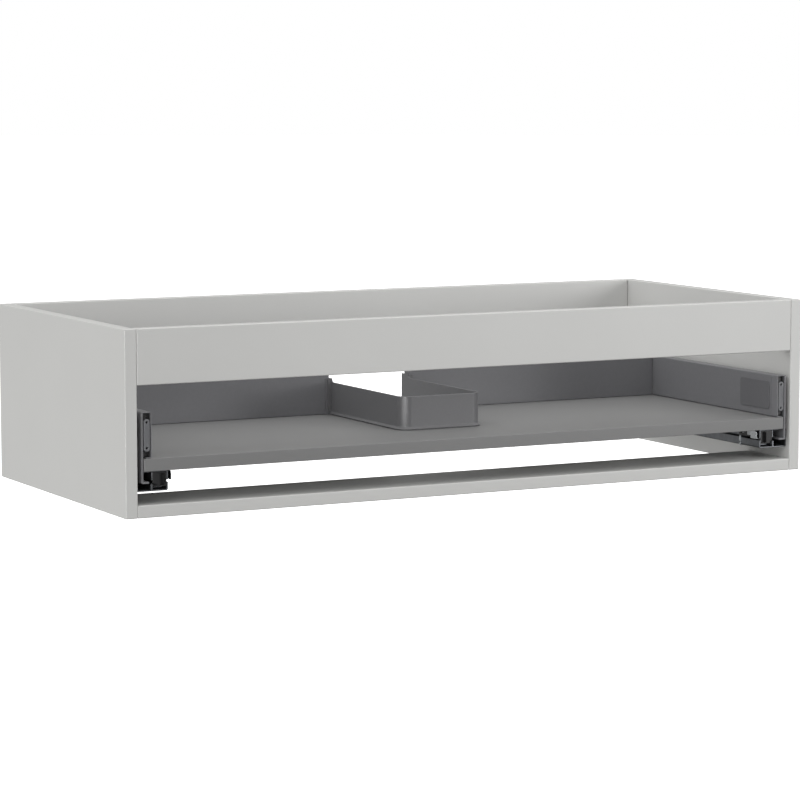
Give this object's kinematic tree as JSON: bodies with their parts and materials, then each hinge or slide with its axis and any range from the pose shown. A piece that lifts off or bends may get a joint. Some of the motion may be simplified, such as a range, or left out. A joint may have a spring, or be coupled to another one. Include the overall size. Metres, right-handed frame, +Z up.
{
  "type": "washbasin cabinet with a drawer on concealed slides",
  "caption": "Wall-hung washbasin cabinet carcass with a frontless steel-sided drawer, cut out for the siphon, on full-extension concealed soft-close slides.",
  "frame": {"origin": "middle of the base of the carcass, halfway between its front and back planes", "axes": "+Z up; -Y out of the cabinet's open front, the way the drawer opens; +X to the right seen from the front"},
  "size_m": [1, 0.44, 0.235],
  "materials": {
    "carcass_laminate": "light grey melamine-faced chipboard, satin",
    "drawer_laminate": "dark grey laminated chipboard, satin",
    "drawer_steel": "dark grey powder-coated sheet steel, fine texture",
    "drawer_plastic": "dark grey moulded plastic, satin",
    "galvanised_steel": "zinc-plated rolled steel, satin",
    "bright_steel": "bright zinc-plated steel",
    "black_plastic": "black moulded plastic, satin",
    "grey_plastic": "grey moulded plastic, satin"
  },
  "bodies": {
    "cabinet": {"left_side_panel": "carcass_laminate", "right_side_panel": "carcass_laminate", "front_top_rail": "carcass_laminate", "back_top_rail": "carcass_laminate", "front_bottom_rail": "carcass_laminate", "hanger_housing_left": "grey_plastic", "cabinet_rail_left": "galvanised_steel", "rail_screw_left_front": "bright_steel", "rail_screw_left_rear": "bright_steel", "damper_tray_left": "black_plastic", "damper_cylinder_left": "bright_steel", "closing_spring_left": "bright_steel", "hanger_housing_right": "grey_plastic", "cabinet_rail_right": "galvanised_steel", "rail_screw_right_front": "bright_steel", "rail_screw_right_rear": "bright_steel", "damper_tray_right": "black_plastic", "damper_cylinder_right": "bright_steel", "closing_spring_right": "bright_steel"},
    "drawer": {"drawer_floor": "drawer_laminate", "siphon_surround": "drawer_plastic", "back_panel_left": "drawer_laminate", "surround_clip_left": "drawer_plastic", "drawer_side_left": "drawer_steel", "cover_cap_left": "grey_plastic", "front_bracket_left": "grey_plastic", "bracket_clamp_left": "black_plastic", "back_bracket_left": "galvanised_steel", "drawer_rail_left": "galvanised_steel", "rail_end_cap_left": "grey_plastic", "latch_housing_left": "black_plastic", "closing_pin_left": "black_plastic", "back_panel_right": "drawer_laminate", "surround_clip_right": "drawer_plastic", "drawer_side_right": "drawer_steel", "cover_cap_right": "grey_plastic", "front_bracket_right": "grey_plastic", "bracket_clamp_right": "black_plastic", "back_bracket_right": "galvanised_steel", "drawer_rail_right": "galvanised_steel", "rail_end_cap_right": "grey_plastic", "latch_housing_right": "black_plastic", "closing_pin_right": "black_plastic"},
    "middle_rail_left": {"middle_rail_left": "galvanised_steel"},
    "lower_ball_cage_left": {"lower_ball_cage_left": "grey_plastic"},
    "upper_ball_cage_left": {"upper_ball_cage_left": "grey_plastic"},
    "closing_catch_left": {"closing_catch_left": "grey_plastic", "damper_rod_left": "bright_steel"},
    "release_lever_left": {"release_lever_left": "bright_steel"},
    "front_lock_cam_left": {"front_lock_cam_left": "bright_steel"},
    "hanger_hook_left": {"hanger_hook_left": "bright_steel"},
    "middle_rail_right": {"middle_rail_right": "galvanised_steel"},
    "lower_ball_cage_right": {"lower_ball_cage_right": "grey_plastic"},
    "upper_ball_cage_right": {"upper_ball_cage_right": "grey_plastic"},
    "closing_catch_right": {"closing_catch_right": "grey_plastic", "damper_rod_right": "bright_steel"},
    "release_lever_right": {"release_lever_right": "bright_steel"},
    "front_lock_cam_right": {"front_lock_cam_right": "bright_steel"},
    "hanger_hook_right": {"hanger_hook_right": "bright_steel"}
  },
  "joints": [
    {"name": "drawer_slide", "type": "slide", "parent": "cabinet", "child": "drawer", "axis": [0, -1, 0], "range_m": [0, 0.35]},
    {"name": "middle_rail_slide_left", "type": "slide", "parent": "cabinet", "child": "middle_rail_left", "axis": [0, -1, 0], "range_m": [0, 0.175]},
    {"name": "lower_ball_cage_slide_left", "type": "slide", "parent": "cabinet", "child": "lower_ball_cage_left", "axis": [0, -1, 0], "range_m": [0, 0.0875]},
    {"name": "upper_ball_cage_slide_left", "type": "slide", "parent": "cabinet", "child": "upper_ball_cage_left", "axis": [0, -1, 0], "range_m": [0, 0.2625]},
    {"name": "closing_catch_slide_left", "type": "slide", "parent": "cabinet", "child": "closing_catch_left", "axis": [0, -1, 0], "range_m": [0, 0.04], "stiffness_N_per_m": 50, "springref_m": -0.02, "deforming": ["closing_spring_left"]},
    {"name": "release_lever_pivot_left", "type": "hinge", "parent": "drawer", "child": "release_lever_left", "pos_m": [-0.4371, -0.189, 0.0509], "axis": [0, 0, 1], "range_deg": [0, 8], "stiffness_Nm_per_rad": 0.02, "springref_deg": -5.73},
    {"name": "front_lock_cam_turn_left", "type": "hinge", "parent": "drawer", "child": "front_lock_cam_left", "pos_m": [-0.466, -0.155, 0.1025], "axis": [1, 0, 0], "range_deg": [0, 90]},
    {"name": "hanger_hook_lift_left", "type": "slide", "parent": "cabinet", "child": "hanger_hook_left", "axis": [0, 0, 1], "range_m": [-0.005, 0.005]},
    {"name": "middle_rail_slide_right", "type": "slide", "parent": "cabinet", "child": "middle_rail_right", "axis": [0, -1, 0], "range_m": [0, 0.175]},
    {"name": "lower_ball_cage_slide_right", "type": "slide", "parent": "cabinet", "child": "lower_ball_cage_right", "axis": [0, -1, 0], "range_m": [0, 0.0875]},
    {"name": "upper_ball_cage_slide_right", "type": "slide", "parent": "cabinet", "child": "upper_ball_cage_right", "axis": [0, -1, 0], "range_m": [0, 0.2625]},
    {"name": "closing_catch_slide_right", "type": "slide", "parent": "cabinet", "child": "closing_catch_right", "axis": [0, -1, 0], "range_m": [0, 0.04], "stiffness_N_per_m": 50, "springref_m": -0.02, "deforming": ["closing_spring_right"]},
    {"name": "release_lever_pivot_right", "type": "hinge", "parent": "drawer", "child": "release_lever_right", "pos_m": [0.4371, -0.189, 0.0509], "axis": [0, 0, -1], "range_deg": [0, 8], "stiffness_Nm_per_rad": 0.02, "springref_deg": -5.73},
    {"name": "front_lock_cam_turn_right", "type": "hinge", "parent": "drawer", "child": "front_lock_cam_right", "pos_m": [0.466, -0.155, 0.1025], "axis": [-1, 0, 0], "range_deg": [0, 90]},
    {"name": "hanger_hook_lift_right", "type": "slide", "parent": "cabinet", "child": "hanger_hook_right", "axis": [0, 0, 1], "range_m": [-0.005, 0.005]}
  ],
  "couplings": [
    {"joint": "middle_rail_slide_left", "follows": "drawer_slide", "ratio": 0.5},
    {"joint": "lower_ball_cage_slide_left", "follows": "drawer_slide", "ratio": 0.25},
    {"joint": "upper_ball_cage_slide_left", "follows": "drawer_slide", "ratio": 0.75},
    {"joint": "middle_rail_slide_right", "follows": "drawer_slide", "ratio": 0.5},
    {"joint": "lower_ball_cage_slide_right", "follows": "drawer_slide", "ratio": 0.25},
    {"joint": "upper_ball_cage_slide_right", "follows": "drawer_slide", "ratio": 0.75}
  ]
}
